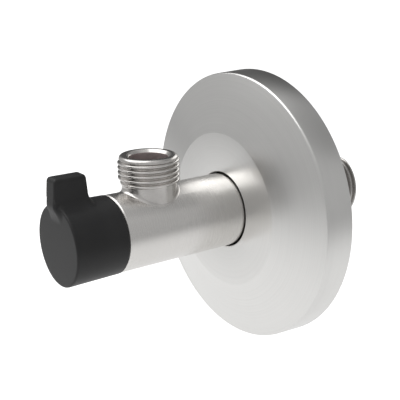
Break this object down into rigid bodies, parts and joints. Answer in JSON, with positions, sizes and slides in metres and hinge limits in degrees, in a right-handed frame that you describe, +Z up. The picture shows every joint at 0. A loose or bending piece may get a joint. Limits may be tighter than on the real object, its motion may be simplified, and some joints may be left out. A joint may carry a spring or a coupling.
{
  "type": "angle valve",
  "caption": "Wall-mounted quarter-turn angle valve: round wall flange, brushed tube body, threaded outlet at a right angle and a lever knob on the front.",
  "frame": {"origin": "centre of the inlet thread's end face, on the valve's axis", "axes": "+Y along the valve's axis towards the wall, -Y towards the knob, +Z up along the outlet, +X to the right as seen from the knob"},
  "size_m": [0.0782, 0.098, 0.0782],
  "materials": {
    "nickel_plated_brass": "brushed nickel plating on the tube, polished at the outlet",
    "brushed_flange": "brushed in circles",
    "black_plastic": "satin moulded",
    "plain_brass": "machined",
    "chromed_ball": "polished chrome plating",
    "seat_plastic": "smooth",
    "seal_rubber": "smooth"
  },
  "bodies": {
    "valve": {"valve_body": "nickel_plated_brass", "inlet_seat": "seat_plastic", "front_seat": "seat_plastic", "outlet_seat": "seat_plastic", "outlet_seat_sleeve": "plain_brass", "bonnet": "plain_brass", "bonnet_ring": "seal_rubber", "thrust_washer": "seat_plastic"},
    "knob": {"lever_knob": "black_plastic", "stem": "plain_brass", "ball": "chromed_ball", "inner_stem_ring": "seal_rubber", "outer_stem_ring": "seal_rubber"},
    "flange": {"wall_flange": "brushed_flange", "grip_ring": "seal_rubber"}
  },
  "joints": [
    {"name": "knob_turn", "type": "hinge", "parent": "valve", "child": "knob", "pos_m": [0, -0.06925, 0], "axis": [0, 1, 0], "range_deg": [0, 90]},
    {"name": "flange_slide", "type": "slide", "parent": "valve", "child": "flange", "axis": [0, 1, 0], "range_m": [-0.015, 0.02]}
  ]
}
